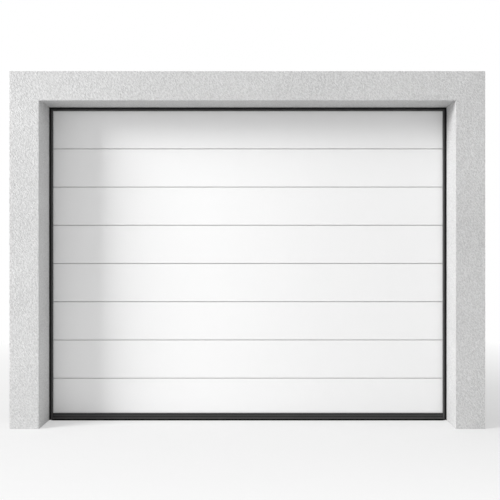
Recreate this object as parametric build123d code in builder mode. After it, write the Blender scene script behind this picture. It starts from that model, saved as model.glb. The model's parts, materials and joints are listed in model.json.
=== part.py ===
from build123d import *

import os
from math import radians, sin, sqrt, tan

# Sectional garage door in a rendered masonry surround.
# Seen from outside, X runs to the right, Y into the garage and Z up. The origin is the
# middle of the threshold: on the floor, under the middle of the leaf's thickness.
# The leaf is four insulated sections hinged on the inside. Rollers at its ends run in a
# pair of steel tracks, and a torsion spring shaft at the rear carries its weight.

# Masonry surround
opening_width = 2540
opening_height = 2000
pier_width = 180
lintel_height = 180
wall_thickness = 200
arris_radius = 3

# Leaf
section_count = 4
leaf_thickness = 42
wall_gap = 18  # from the wall's inner face to the leaf's front face
leaf_foot = 20  # clear height under the bottom section
head_overlap = 20  # the top section goes on behind the head seal
edge_overlap = 16  # the leaf goes on behind each side seal
top_band_cut = 3.6  # the head seal covers this much of the top band
joint_gap = 5
joint_chamfer = 1
tongue_width = 22
tongue_height = 8
tongue_clearance = 0.3
tongue_radius = 5
groove_depth = 10
inner_bead_depth = 1.5
inner_bead_width = 5

# Dark border round the leaf
lip_width = 20  # from the masonry to the visible edge of the leaf
bead_width = 10  # the rubber bead's share of it
sheet = 2  # steel of the frame and the tracks
frame_recess = 7
frame_flange = 80
frame_depth = 150
frame_return = 12
head_flange = 100
head_return = 24
bead_radius = 3.5
clip_width = 8
clip_depth = 6

# Bottom edge
rail_wall = 3
rail_height = 43
rail_skirt = 9.5
rail_rear_height = 32
rail_rib_depth = 4
rail_ribs = ((9.5, 18), (24.5, 30.5), (37, 43))  # lower and upper edge of each rib
rail_toe_depth = 12  # the toe along the foot that holds the rubber down
rail_toe_height = 3.5
rail_end_gap = 0.5
seal_front_reach = 23  # in front of the leaf
seal_rear_reach = 7
seal_radius = 2
seal_chamber_width = 18
seal_chamber_height = 3.5
seal_chamber_pitch = 26

# Leaf hardware
cap_sheet = 1.5
cap_flange = 60
cap_gap = 2  # kept free at each joint
hinge_sheet = 2.5
hinge_height = 90
hinge_width = 60
hinge_corner = 8
knuckle_diameter = 13
bracket_height = 84
carrier_bore_gap = 0.2
carrier_wall = 2
carrier_foot = 70
cable_pin_diameter = 6
bottom_roller_level = 68
top_roller_drop = 42  # below the leaf's top edge

# Rollers and tracks
roller_offset = 22  # from the leaf's back face to the roller axis
roller_diameter = 45
roller_width = 12
roller_hub_diameter = 19
roller_hub_height = 3
stem_diameter = 11
stem_end = 2  # its riveted end beyond the wheel
track_clearance = 0.5
track_depth = 32
track_gap = 28  # from the leaf's edge to the track's mouth
track_mouth = 28
track_corner = 4
track_foot = 12
curve_radius = 280
upper_curve_radius = 120
upper_track_rise = 85  # from the masonry's lower edge to the upper track's axis
track_spacing = 55  # between the axes of the two horizontal tracks
upper_track_stub = 35
track_length = 2339  # from the wall's inner face to the tracks' rear ends

# Brackets
bracket_sheet = 3
bracket_count = 4
bracket_foot = 220  # of the lowest bracket
bracket_width = 40
bracket_length = 36
flag_reach = 360
flag_tail = 50
flag_hole_diameter = 40
plate_length = 200
plate_overlap = 60
slot_width = 9
slot_length = 20
tie_width = 30
tie_count = 2
buffer_length = 60
hanger_width = 40
hanger_foot = 60
hanger_hole_diameter = 9
hanger_hole_pitch = 36
ceiling_hole_line = 36  # from the hanger's upright to the middle of its two bolts
ceiling_hole_pitch = 24

# Torsion spring shaft
shaft_diameter = 25.4
shaft_wall = 3
shaft_setback = 75  # behind the tracks' rear ends
shaft_end = 18
bearing_diameter = 46
bearing_width = 14
bearing_gap = 0.3
drum_radius = 50  # at the cable's centre
drum_flange = 6
drum_width = 34
drum_groove_pitch = 6
groove_angle = 60
drum_web_inset = 8
drum_hub_diameter = 50
drum_groove_count = 3
cable_diameter = 4
cable_strands = 6
cable_gap = 0.1
cable_offset = 5  # the vertical run stands this far behind the leaf's back face
cable_clearance = 15.5  # beyond the leaf's end cap
pulley_radius = 25  # at the cable's centre
pulley_flange = 4
pulley_width = 12
pulley_pin_diameter = 10
spring_diameter = 60
spring_wire = 6
spring_length = 560
cone_length = 45
cone_insert = 32
cone_collar_diameter = 72
cone_collar_width = 22
cone_socket_diameter = 13
spring_plate_width = 90
spring_foot_width = 80
spring_foot_depth = 150

# Planes and lines that follow from the sizes above
half_opening = opening_width / 2
wall_top = opening_height + lintel_height
leaf_front = -leaf_thickness / 2
leaf_back = leaf_thickness / 2
wall_inner = leaf_front - wall_gap
seal_line = opening_height - lip_width
section_height = (seal_line + top_band_cut - leaf_foot) / section_count
leaf_top = seal_line + head_overlap
leaf_half = half_opening - lip_width + edge_overlap
joint_levels = [leaf_foot + section_height * n for n in range(1, section_count)]

nose_inset = lip_width - bead_width  # how far the frame shows inside the masonry
post_web = half_opening + frame_flange
post_top = opening_height + head_flange
frame_nose = wall_inner + frame_recess
frame_rear = wall_inner + frame_depth

cap_edge = leaf_half + cap_sheet
cap_back = leaf_back + cap_sheet
roller_line = leaf_back + roller_offset
track_inner = leaf_half + track_gap
track_outer = track_inner + track_depth
track_middle = (track_inner + track_outer) / 2
track_width = roller_diameter + 2 * (track_clearance + sheet)
upper_track_level = opening_height + upper_track_rise
lower_track_level = upper_track_level - track_spacing
curve_start = lower_track_level - curve_radius
curve_end = roller_line + curve_radius
upper_curve_start = upper_track_level - upper_curve_radius
upper_curve_end = roller_line + upper_curve_radius
track_rear = wall_inner + track_length
top_roller_level = leaf_top - top_roller_drop
roller_levels = [bottom_roller_level, *joint_levels, top_roller_level]

cable_x = cap_edge + cable_clearance
cable_y = leaf_back + cable_offset
cable_top = upper_track_level + pulley_radius
pulley_y = cable_y + pulley_radius
pulley_z = cable_top - pulley_radius
shaft_y = track_rear + shaft_setback
shaft_z = cable_top - drum_radius
plate_inner = track_outer
plate_outer = track_outer + bracket_sheet

os.makedirs("parts", exist_ok=True)


def save(part, name):
    """Label a finished piece and write its file."""
    part.label = name
    export_step(part, f"parts/{name}.step")


def save_pair(part, name):
    """Write the right-hand piece and its mirror image."""
    save(part, f"right_{name}")
    with BuildPart() as left_piece:
        mirror(part, about=Plane.YZ)
    save(left_piece.part, f"left_{name}")


def save_mirrored_set(part, name):
    """Write the right-hand pieces and their mirror images in one node."""
    with BuildPart() as both_sides:
        add(part)
        mirror(part, about=Plane.YZ)
    save(both_sides.part, name)


# Masonry: two piers and the lintel between them
with BuildPart() as surround:
    with BuildSketch(Plane.XZ.offset(-wall_inner)) as surround_face:
        with Locations((0, wall_top / 2)):
            Rectangle(opening_width + 2 * pier_width, wall_top)
        with Locations((0, opening_height / 2)):
            Rectangle(opening_width, opening_height, mode=Mode.SUBTRACT)
    extrude(amount=wall_thickness)
    outer_edges = surround.faces().sort_by(Axis.Y)[0].edges()
    fillet(outer_edges.filter_by(lambda edge: edge.center().Z > arris_radius), radius=arris_radius)

with BuildPart() as right_pier:
    add(surround.part)
    split(bisect_by=Plane.YZ.offset(half_opening), keep=Keep.TOP)
save_pair(right_pier.part, "pier")

with BuildPart() as lintel:
    add(surround.part)
    split(bisect_by=Plane.YZ.offset(half_opening), keep=Keep.BOTTOM)
    split(bisect_by=Plane.YZ.offset(-half_opening), keep=Keep.TOP)
save(lintel.part, "lintel")

# Steel frame on the wall's inner face
with BuildPart() as right_frame_post:
    with BuildSketch(Plane.XY) as post_profile:
        with BuildLine() as post_line:
            nose_y = frame_nose + sheet / 2
            flange_y = wall_inner + sheet / 2
            step_x = half_opening + sheet / 2
            web_x = post_web - sheet / 2
            Polyline(
                (half_opening - nose_inset, nose_y),
                (step_x, nose_y),
                (step_x, flange_y),
                (web_x, flange_y),
                (web_x, frame_rear - sheet / 2),
                (web_x - frame_return, frame_rear - sheet / 2),
            )
        trace(line_width=sheet)
    extrude(amount=post_top)
save_pair(right_frame_post.part, "frame_post")

with BuildPart() as head_frame:
    with BuildSketch(Plane.YZ) as head_profile:
        with BuildLine() as head_line:
            step_z = opening_height + sheet / 2
            top_z = post_top - sheet / 2
            Polyline(
                (frame_nose + sheet / 2, opening_height - nose_inset),
                (frame_nose + sheet / 2, step_z),
                (wall_inner + sheet / 2, step_z),
                (wall_inner + sheet / 2, top_z),
                (wall_inner + head_return, top_z),
            )
        trace(line_width=sheet)
    extrude(amount=half_opening - nose_inset, both=True)
save(head_frame.part, "head_frame")


def seal_profile(edge):
    """Rubber bead and clip, drawn with depth up and the bead's free edge at `edge`."""
    bead_depth = leaf_front - wall_inner
    with Locations((edge + bead_width / 2, wall_inner + bead_depth / 2)):
        bead = Rectangle(bead_width, bead_depth)
    fillet(bead.vertices().group_by(Axis.Y)[0], radius=bead_radius)
    clip_front = frame_nose + sheet
    with Locations((edge + bead_width + clip_width / 2, clip_front + clip_depth / 2)):
        Rectangle(clip_width, clip_depth)


corner_x = half_opening - lip_width
right_mitre = Plane(origin=(corner_x, 0, seal_line), z_dir=(1, 0, -1))

with BuildPart() as right_side_seal:
    with BuildSketch(Plane.XY):
        seal_profile(corner_x)
    extrude(amount=opening_height)
    split(bisect_by=right_mitre, keep=Keep.TOP)
save_pair(right_side_seal.part, "side_seal")

with BuildPart() as head_seal:
    with BuildSketch(Plane(origin=(0, 0, 0), x_dir=(0, 0, 1), z_dir=(-1, 0, 0))):
        seal_profile(seal_line)
    extrude(amount=half_opening, both=True)
    split(bisect_by=right_mitre, keep=Keep.BOTTOM)
    left_mitre = Plane(origin=(-corner_x, 0, seal_line), z_dir=(-1, 0, -1))
    split(bisect_by=left_mitre, keep=Keep.BOTTOM)
save(head_seal.part, "head_seal")


def leaf_section(foot, head, has_groove, has_tongue):
    """One insulated section, with a decorative groove that looks like a joint."""
    face_foot = foot + (joint_gap / 2 if has_groove else 0)
    face_head = head - (joint_gap / 2 if has_tongue else 0)
    with BuildPart() as section:
        with BuildSketch(Plane.YZ):
            with Locations((0, (face_foot + face_head) / 2)):
                blank = Rectangle(leaf_thickness, face_head - face_foot)
            chamfer(blank.vertices(), length=joint_chamfer)
            if has_groove:
                groove_width = tongue_width + 2 * tongue_clearance
                groove_head = foot + tongue_height + tongue_clearance
                with Locations((0, (face_foot + groove_head) / 2)):
                    Rectangle(groove_width, groove_head - face_foot, mode=Mode.SUBTRACT)
            if has_tongue:
                tongue_head = head + tongue_height
                with Locations((0, (face_head + tongue_head) / 2)):
                    tongue = Rectangle(tongue_width, tongue_head - face_head)
                fillet(tongue.vertices().group_by(Axis.Y)[-1], radius=tongue_radius)
            middle = foot + section_height / 2
            mouth = joint_gap / 2 + joint_chamfer
            with BuildLine():
                Polyline(
                    (leaf_front, middle - mouth),
                    (leaf_front + joint_chamfer, middle - joint_gap / 2),
                    (leaf_front + groove_depth, middle - joint_gap / 2),
                    (leaf_front + groove_depth, middle + joint_gap / 2),
                    (leaf_front + joint_chamfer, middle + joint_gap / 2),
                    (leaf_front, middle + mouth),
                    close=True,
                )
            make_face(mode=Mode.SUBTRACT)
            with Locations((leaf_back, middle)):
                Rectangle(2 * inner_bead_depth, inner_bead_width, mode=Mode.SUBTRACT)
        extrude(amount=leaf_half, both=True)
    return section.part


section_names = ["bottom", "lower_middle", "upper_middle", "top"]
section_spans = []
for number in range(section_count):
    foot = leaf_foot + section_height * number
    is_first = number == 0
    is_last = number == section_count - 1
    head = leaf_top if is_last else foot + section_height
    section_spans.append((foot, head))
    name = section_names[number] if number < len(section_names) else f"extra_{number}"
    save(leaf_section(foot, head, not is_first, not is_last), f"{name}_section")

# Bottom rail and its rubber seal
rail_half = corner_x - rail_end_gap
rail_front = leaf_front - rail_wall
rail_back = leaf_back + rail_wall

with BuildPart() as bottom_rail:
    with BuildSketch(Plane.YZ):
        with Locations(((rail_front + leaf_front) / 2, (rail_skirt + rail_height) / 2)):
            Rectangle(rail_wall, rail_height - rail_skirt)
        with Locations((0, leaf_foot - rail_wall / 2)):
            Rectangle(leaf_thickness + 2 * rail_wall, rail_wall)
        with Locations(((rail_back + leaf_back) / 2, (rail_skirt + rail_rear_height) / 2)):
            Rectangle(rail_wall, rail_rear_height - rail_skirt)
        for rib_foot, rib_head in rail_ribs:
            with Locations((rail_front - rail_rib_depth / 2, (rib_foot + rib_head) / 2)):
                Rectangle(rail_rib_depth, rib_head - rib_foot)
        with Locations((rail_front - rail_toe_depth / 2, rail_skirt + rail_toe_height / 2)):
            Rectangle(rail_toe_depth, rail_toe_height)
    extrude(amount=rail_half, both=True)
save(bottom_rail.part, "bottom_rail")

with BuildPart() as bottom_seal:
    with BuildSketch(Plane.YZ):
        foot_front = leaf_front - seal_front_reach
        foot_back = leaf_back + seal_rear_reach
        with Locations(((foot_front + foot_back) / 2, rail_skirt / 2)):
            foot_strip = Rectangle(foot_back - foot_front, rail_skirt)
        fillet(foot_strip.vertices().group_by(Axis.Y)[-1], radius=seal_radius)
        with Locations((0, (rail_skirt + leaf_foot - rail_wall) / 2)):
            Rectangle(leaf_thickness, leaf_foot - rail_wall - rail_skirt)
        with Locations((-seal_chamber_pitch / 2, rail_skirt), (seal_chamber_pitch / 2, rail_skirt)):
            SlotOverall(seal_chamber_width, seal_chamber_height, mode=Mode.SUBTRACT)
    extrude(amount=rail_half, both=True)
save(bottom_seal.part, "bottom_seal")

# Steel caps over the ends of the sections
with BuildPart() as right_end_caps:
    for foot, head in section_spans:
        cap_foot = max(foot, rail_rear_height) + cap_gap
        with BuildSketch(Plane.XY.offset(cap_foot)):
            with Locations((leaf_half + cap_sheet / 2, cap_sheet / 2)):
                Rectangle(cap_sheet, leaf_thickness)
            with Locations((cap_edge - (cap_flange + cap_sheet) / 2, leaf_back + cap_sheet / 2)):
                Rectangle(cap_flange + cap_sheet, cap_sheet)
        extrude(amount=head - cap_gap - cap_foot)
save_pair(right_end_caps.part, "end_caps")

# Hinges on the leaf's middle line
with BuildPart() as centre_hinges:
    for level in joint_levels:
        with BuildSketch(Plane.XZ.offset(-leaf_back)):
            with Locations((0, level)):
                hinge_leaf = Rectangle(hinge_width, hinge_height)
            chamfer(hinge_leaf.vertices(), length=hinge_corner)
        extrude(amount=-hinge_sheet)
        with BuildSketch(Plane.YZ.offset(-hinge_width / 2)):
            with Locations((leaf_back + knuckle_diameter / 2, level)):
                Circle(knuckle_diameter / 2)
        extrude(amount=hinge_width)
save(centre_hinges.part, "centre_hinges")

carrier_bore = stem_diameter + 2 * carrier_bore_gap
carrier_diameter = carrier_bore + 2 * carrier_wall
carrier_inner = leaf_half - hinge_width


def roller_carrier(level, plate_foot, plate_head):
    """Plate, two cheeks and a tube for a roller's stem, on the end cap's flange."""
    plate_back = cap_back + hinge_sheet
    with BuildPart() as carrier:
        with BuildSketch(Plane.YZ.offset(carrier_inner)):
            with Locations((cap_back + hinge_sheet / 2, (plate_foot + plate_head) / 2)):
                Rectangle(hinge_sheet, plate_head - plate_foot)
        extrude(amount=hinge_width)
        for cheek_x in (carrier_inner, leaf_half - hinge_sheet):
            with BuildSketch(Plane.YZ.offset(cheek_x)):
                with BuildLine():
                    Polyline(
                        (plate_back, level - carrier_foot / 2),
                        (roller_line, level - carrier_diameter / 2),
                        (roller_line, level + carrier_diameter / 2),
                        (plate_back, level + carrier_foot / 2),
                        close=True,
                    )
                make_face()
            extrude(amount=hinge_sheet)
        with BuildSketch(Plane.YZ.offset(carrier_inner)):
            with Locations((roller_line, level)):
                Circle(carrier_diameter / 2)
        extrude(amount=hinge_width)
        with BuildSketch(Plane.YZ.offset(carrier_inner)):
            with Locations((roller_line, level)):
                Circle(carrier_bore / 2)
        extrude(amount=hinge_width, mode=Mode.SUBTRACT)
    return carrier.part


with BuildPart() as right_roller_hinges:
    for level in joint_levels:
        add(roller_carrier(level, level - hinge_height / 2, level + hinge_height / 2))
save_pair(right_roller_hinges.part, "roller_hinges")

# Bottom and top brackets; the bottom one also holds the lift cable's pin
bottom_plate_foot = max(bottom_roller_level - bracket_height / 2, rail_rear_height + cap_gap)
cable_pin_level = bottom_plate_foot + 1.5 * cable_pin_diameter

bottom_plate_head = bottom_roller_level + bracket_height / 2
top_plate_foot = top_roller_level - bracket_height / 2
top_plate_head = min(leaf_top - cap_gap, top_roller_level + bracket_height / 2)

with BuildPart() as right_roller_brackets:
    add(roller_carrier(bottom_roller_level, bottom_plate_foot, bottom_plate_head))
    add(roller_carrier(top_roller_level, top_plate_foot, top_plate_head))
    with BuildSketch(Plane.YZ.offset(leaf_half - hinge_sheet)):
        with Locations((cable_y, cable_pin_level)):
            Circle(cable_pin_diameter / 2)
    extrude(amount=cable_x + 2 * cable_diameter - leaf_half + hinge_sheet)
save_pair(right_roller_brackets.part, "roller_brackets")

# Rollers: steel stems with nylon wheels
with BuildPart() as right_wheels:
    for level in roller_levels:
        with BuildSketch(Plane.XZ.offset(-roller_line)):
            with BuildLine():
                bore = stem_diameter / 2
                hub = roller_hub_diameter / 2
                rim = roller_diameter / 2
                outline = [
                    (roller_width / 2, bore),
                    (roller_width / 2, rim),
                    (-roller_width / 2, rim),
                    (-roller_width / 2, hub),
                    (-roller_width / 2 - roller_hub_height, hub),
                    (-roller_width / 2 - roller_hub_height, bore),
                ]
                Polyline([(track_middle + x, level + z) for x, z in outline], close=True)
            make_face()
        revolve(axis=Axis((0, roller_line, level), (1, 0, 0)))
save_mirrored_set(right_wheels.part, "roller_wheels")

with BuildPart() as right_stems:
    for level in roller_levels:
        with BuildSketch(Plane.YZ.offset(carrier_inner)):
            with Locations((roller_line, level)):
                Circle(stem_diameter / 2)
        extrude(amount=track_middle + roller_width / 2 + stem_end - carrier_inner)
save_mirrored_set(right_stems.part, "roller_stems")


def track_profile(centre):
    """C-shaped roller track, open towards the leaf."""
    for inset, mode in ((0, Mode.ADD), (sheet, Mode.SUBTRACT)):
        half_depth = track_depth / 2 - inset
        half_width = track_width / 2 - inset
        corner = track_corner - inset / 2
        with Locations(centre):
            Polygon(
                (-half_depth, half_width),
                (half_depth - corner, half_width),
                (half_depth, half_width - corner),
                (half_depth, corner - half_width),
                (half_depth - corner, -half_width),
                (-half_depth, -half_width),
                align=None,
                mode=mode,
            )
    with Locations((centre[0] - track_depth / 2, centre[1])):
        Rectangle(2 * track_corner, track_mouth, mode=Mode.SUBTRACT)


with BuildPart() as right_vertical_track:
    with BuildSketch(Plane.XY.offset(track_foot)):
        track_profile((track_middle, roller_line))
    extrude(amount=curve_start - track_foot)
save_pair(right_vertical_track.part, "vertical_track")

with BuildPart() as right_track_curves:
    with BuildSketch(Plane.XY.offset(curve_start)):
        track_profile((track_middle, roller_line))
    revolve(axis=Axis((0, curve_end, curve_start), (-1, 0, 0)), revolution_arc=90)
    with BuildSketch(Plane.XY.offset(upper_curve_start)):
        track_profile((track_middle, roller_line))
    revolve(axis=Axis((0, upper_curve_end, upper_curve_start), (-1, 0, 0)), revolution_arc=90)
    with BuildSketch(Plane.XY.offset(upper_curve_start - upper_track_stub)):
        track_profile((track_middle, roller_line))
    extrude(amount=upper_track_stub)
save_pair(right_track_curves.part, "track_curves")

with BuildPart() as right_horizontal_tracks:
    with BuildSketch(Plane.XZ.offset(-curve_end)):
        track_profile((track_middle, lower_track_level))
    extrude(amount=-(track_rear - curve_end))
    with BuildSketch(Plane.XZ.offset(-upper_curve_end)):
        track_profile((track_middle, upper_track_level))
    extrude(amount=-(track_rear - upper_curve_end))
save_pair(right_horizontal_tracks.part, "horizontal_tracks")


def track_bracket(level, inner_x):
    """Channel bracket between a track, or its flag plate, and the frame post."""
    outer_x = post_web - sheet
    middle_x = (inner_x + outer_x) / 2
    with BuildPart() as bracket:
        with BuildSketch(Plane.XY.offset(level - bracket_length / 2)):
            with Locations((middle_x, roller_line)):
                Rectangle(outer_x - inner_x, bracket_width)
            with Locations((middle_x, roller_line - bracket_sheet)):
                hollow_width = outer_x - inner_x - 2 * bracket_sheet
                Rectangle(hollow_width, bracket_width, mode=Mode.SUBTRACT)
        extrude(amount=bracket_length)
    return bracket.part


half_track = track_width / 2
flag_head = upper_track_level + half_track
flag_foot = curve_start - flag_tail
flag_rear = roller_line + flag_reach
bracket_step = (flag_foot - bracket_length - bracket_foot) / (bracket_count - 1)

with BuildPart() as right_track_brackets:
    for number in range(bracket_count):
        add(track_bracket(bracket_foot + bracket_step * number, track_outer))
    for level in (flag_foot + bracket_length, post_top - bracket_length):
        add(track_bracket(level, plate_outer))
save_mirrored_set(right_track_brackets.part, "track_brackets")

# Flag plate: joins the tracks' curves, the post and the pulley's pin
with BuildPart() as right_flag_plate:
    with BuildSketch(Plane.YZ.offset(plate_inner)):
        with BuildLine():
            front = roller_line - half_track
            waist = curve_radius - half_track
            swing = waist / sqrt(2)
            flag_corner = (roller_line + half_track, curve_start)
            flag_knee = (curve_end - swing, curve_start + swing)
            flag_shoulder = (curve_end, curve_start + waist)
            Line((front, flag_head), (front, flag_foot))
            Line((front, flag_foot), (roller_line + half_track, flag_foot))
            Line((roller_line + half_track, flag_foot), flag_corner)
            ThreePointArc(flag_corner, flag_knee, flag_shoulder)
            Line(flag_shoulder, (flag_rear, curve_start + waist))
            Line((flag_rear, curve_start + waist), (flag_rear, flag_head))
            Line((flag_rear, flag_head), (front, flag_head))
        make_face()
        hole_reach = (curve_radius + half_track + flag_hole_diameter) / sqrt(2)
        with Locations((curve_end - hole_reach, curve_start + hole_reach)):
            Circle(flag_hole_diameter / 2, mode=Mode.SUBTRACT)
    extrude(amount=bracket_sheet)
    with BuildSketch(Plane.YZ.offset(plate_inner)):
        with Locations((pulley_y, pulley_z)):
            Circle(pulley_pin_diameter / 2)
    extrude(amount=-(plate_inner - cable_x + pulley_width))
save_mirrored_set(right_flag_plate.part, "flag_plates")


def cable_groove(x, z):
    """V-shaped groove for the cable, cut into a wheel's half section round (x, z)."""
    wall_distance = cable_diameter / 2 + cable_gap
    slope = tan(radians(groove_angle / 2))
    apex = z - wall_distance / sin(radians(groove_angle / 2))
    top = z + 2 * cable_diameter
    half_mouth = (top - apex) * slope
    Polygon((x, apex), (x + half_mouth, top), (x - half_mouth, top), align=None, mode=Mode.SUBTRACT)


with BuildPart() as right_pulley:
    pulley_bore = pulley_pin_diameter / 2 + cable_gap
    pulley_rim = pulley_radius + pulley_flange
    with BuildSketch(Plane.XZ.offset(-pulley_y)):
        with Locations((cable_x, pulley_z + (pulley_bore + pulley_rim) / 2)):
            Rectangle(pulley_width, pulley_rim - pulley_bore)
        cable_groove(cable_x, pulley_z + pulley_radius)
    revolve(axis=Axis((0, pulley_y, pulley_z), (1, 0, 0)))
save_mirrored_set(right_pulley.part, "cable_pulleys")

# Rear plates: the tracks' rear ends, the shaft's bearings and the ceiling hangers
plate_front = track_rear - plate_overlap
plate_rear = plate_front + plate_length
plate_foot = lower_track_level - half_track

with BuildPart() as right_rear_plate:
    with BuildSketch(Plane.YZ.offset(plate_inner)):
        with Locations(((plate_front + plate_rear) / 2, (plate_foot + flag_head) / 2)):
            outline = Rectangle(plate_length, flag_head - plate_foot)
        fillet(outline.vertices().group_by(Axis.X)[-1], radius=bearing_diameter / 3)
        with Locations((shaft_y, shaft_z)):
            Circle(shaft_diameter / 2 + bearing_gap, mode=Mode.SUBTRACT)
    extrude(amount=bracket_sheet)
    with BuildSketch(Plane.YZ.offset(plate_inner)):
        with Locations((shaft_y, shaft_z)):
            Circle(bearing_diameter / 2)
            Circle(shaft_diameter / 2 + bearing_gap, mode=Mode.SUBTRACT)
    extrude(amount=-(bearing_width - bracket_sheet))
save_mirrored_set(right_rear_plate.part, "rear_plates")

hanger_y = plate_front + hanger_width / 2
with BuildPart() as right_ceiling_hanger:
    with BuildSketch(Plane.YZ.offset(plate_outer)):
        with Locations((hanger_y, (plate_foot + wall_top) / 2)):
            Rectangle(hanger_width, wall_top - plate_foot)
        for step in range(int((wall_top - plate_foot) / hanger_hole_pitch)):
            with Locations((hanger_y, plate_foot + hanger_hole_pitch * (step + 0.5))):
                Rectangle(slot_length, slot_width, mode=Mode.SUBTRACT)
    extrude(amount=bracket_sheet)
    with BuildSketch(Plane.XY.offset(wall_top - bracket_sheet)):
        with Locations((plate_outer + hanger_foot / 2, hanger_y)):
            Rectangle(hanger_foot, hanger_width)
        with Locations((plate_outer + ceiling_hole_line, hanger_y)):
            with GridLocations(ceiling_hole_pitch, ceiling_hole_pitch, 2, 1):
                Circle(hanger_hole_diameter / 2, mode=Mode.SUBTRACT)
    extrude(amount=bracket_sheet)
save_mirrored_set(right_ceiling_hanger.part, "ceiling_hangers")

# Ties between the two horizontal tracks, and a rubber buffer at each rear end
with BuildPart() as right_track_ties:
    tie_span = plate_front - flag_rear
    for number in range(1, tie_count + 1):
        tie_y = flag_rear + tie_span * number / (tie_count + 1)
        with BuildSketch(Plane.YZ.offset(plate_inner)):
            with Locations((tie_y, (plate_foot + flag_head) / 2)):
                Rectangle(tie_width, flag_head - plate_foot)
                with Locations((0, 0)):
                    Rectangle(slot_length, slot_width, mode=Mode.SUBTRACT)
        extrude(amount=bracket_sheet)
save_mirrored_set(right_track_ties.part, "track_ties")

with BuildPart() as right_buffers:
    buffer_depth = track_depth - 2 * sheet
    with BuildSketch(Plane.XZ.offset(-(track_rear - buffer_length))):
        with Locations((track_middle, lower_track_level), (track_middle, upper_track_level)):
            Rectangle(buffer_depth, track_width - 2 * sheet - 2 * track_corner)
    extrude(amount=-buffer_length)
save_mirrored_set(right_buffers.part, "track_buffers")

# Torsion spring shaft with its drums, springs, cones and centre bracket
shaft_half = plate_outer + shaft_end
with BuildPart() as spring_shaft:
    with BuildSketch(Plane.YZ):
        with Locations((shaft_y, shaft_z)):
            Circle(shaft_diameter / 2)
            Circle(shaft_diameter / 2 - shaft_wall, mode=Mode.SUBTRACT)
    extrude(amount=shaft_half, both=True)
save(spring_shaft.part, "spring_shaft")

shaft_hole = shaft_diameter / 2 + bearing_gap
drum_rim = drum_radius + drum_flange
with BuildPart() as right_drum:
    with BuildSketch(Plane.XZ.offset(-shaft_y)):
        with Locations((cable_x, shaft_z + (drum_rim + shaft_hole) / 2)):
            Rectangle(drum_width, drum_rim - shaft_hole)
        land_width = drum_width - 2 * drum_flange
        with Locations((cable_x, shaft_z + (drum_rim + drum_radius) / 2)):
            Rectangle(land_width, drum_rim - drum_radius, mode=Mode.SUBTRACT)
        groove_start = -(drum_groove_count - 1) / 2
        for groove in range(drum_groove_count):
            cable_groove(
                cable_x + (groove_start + groove) * drum_groove_pitch, shaft_z + drum_radius
            )
        recess_foot = drum_hub_diameter / 2
        recess_head = drum_radius - 2 * drum_web_inset
        recess_x = cable_x - (drum_width - drum_web_inset) / 2
        with Locations((recess_x, shaft_z + (recess_foot + recess_head) / 2)):
            Rectangle(drum_web_inset, recess_head - recess_foot, mode=Mode.SUBTRACT)
    revolve(axis=Axis((0, shaft_y, shaft_z), (1, 0, 0)))
save_mirrored_set(right_drum.part, "cable_drums")

# The lift cable runs off its drum, over the front pulley and down to the bottom bracket
with BuildPart() as right_lift_cable:
    with BuildLine() as cable_line:
        drum_top = (cable_x, shaft_y, cable_top)
        drum_rear = (cable_x, shaft_y + drum_radius, shaft_z)
        drum_under = (cable_x, shaft_y, shaft_z - drum_radius)
        pulley_top = (cable_x, pulley_y, cable_top)
        knee = pulley_radius / sqrt(2)
        pulley_knee = (cable_x, pulley_y - knee, pulley_z + knee)
        pulley_front = (cable_x, cable_y, pulley_z)
        cable_end = (cable_x, cable_y, cable_pin_level + cable_pin_diameter / 2)
        ThreePointArc(drum_under, drum_rear, drum_top)
        Line(drum_top, pulley_top)
        ThreePointArc(pulley_top, pulley_knee, pulley_front)
        Line(pulley_front, cable_end)
    with BuildSketch(Plane(origin=cable_end, z_dir=(0, 0, 1))):
        RegularPolygon(cable_diameter / 2, cable_strands)
    sweep(path=cable_line.line)
save_pair(right_lift_cable.part, "lift_cable")

spring_start = spring_plate_width / 2
with BuildPart() as right_torsion_spring:
    with BuildSketch(Plane.YZ.offset(spring_start)):
        with Locations((shaft_y, shaft_z)):
            Circle(spring_diameter / 2)
            Circle(spring_diameter / 2 - spring_wire, mode=Mode.SUBTRACT)
    extrude(amount=spring_length)
save_pair(right_torsion_spring.part, "torsion_spring")

with BuildPart() as right_cones:
    mouth = spring_start + spring_length
    bore = spring_diameter / 2 - spring_wire - cable_gap
    with BuildSketch(Plane.XZ.offset(-shaft_y)):
        with BuildLine():
            collar = cone_collar_diameter / 2
            Polyline(
                (mouth - cone_insert, shaft_z + shaft_hole),
                (mouth - cone_insert, shaft_z + (bore + shaft_hole) / 2),
                (mouth, shaft_z + bore),
                (mouth, shaft_z + collar),
                (mouth + cone_collar_width, shaft_z + collar),
                (mouth + cone_length, shaft_z + bore),
                (mouth + cone_length, shaft_z + shaft_hole),
                close=True,
            )
        make_face()
    revolve(axis=Axis((0, shaft_y, shaft_z), (1, 0, 0)))
    socket_face = Plane(origin=(mouth + cone_collar_width / 2, shaft_y, shaft_z))
    for tilt in (0, 90, 180, 270):
        with BuildSketch(socket_face.rotated((tilt, 0, 0)).offset(spring_diameter / 2)):
            Circle(cone_socket_diameter / 2)
        extrude(amount=cone_collar_diameter, mode=Mode.SUBTRACT)
save_mirrored_set(right_cones.part, "winding_cones")

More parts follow.
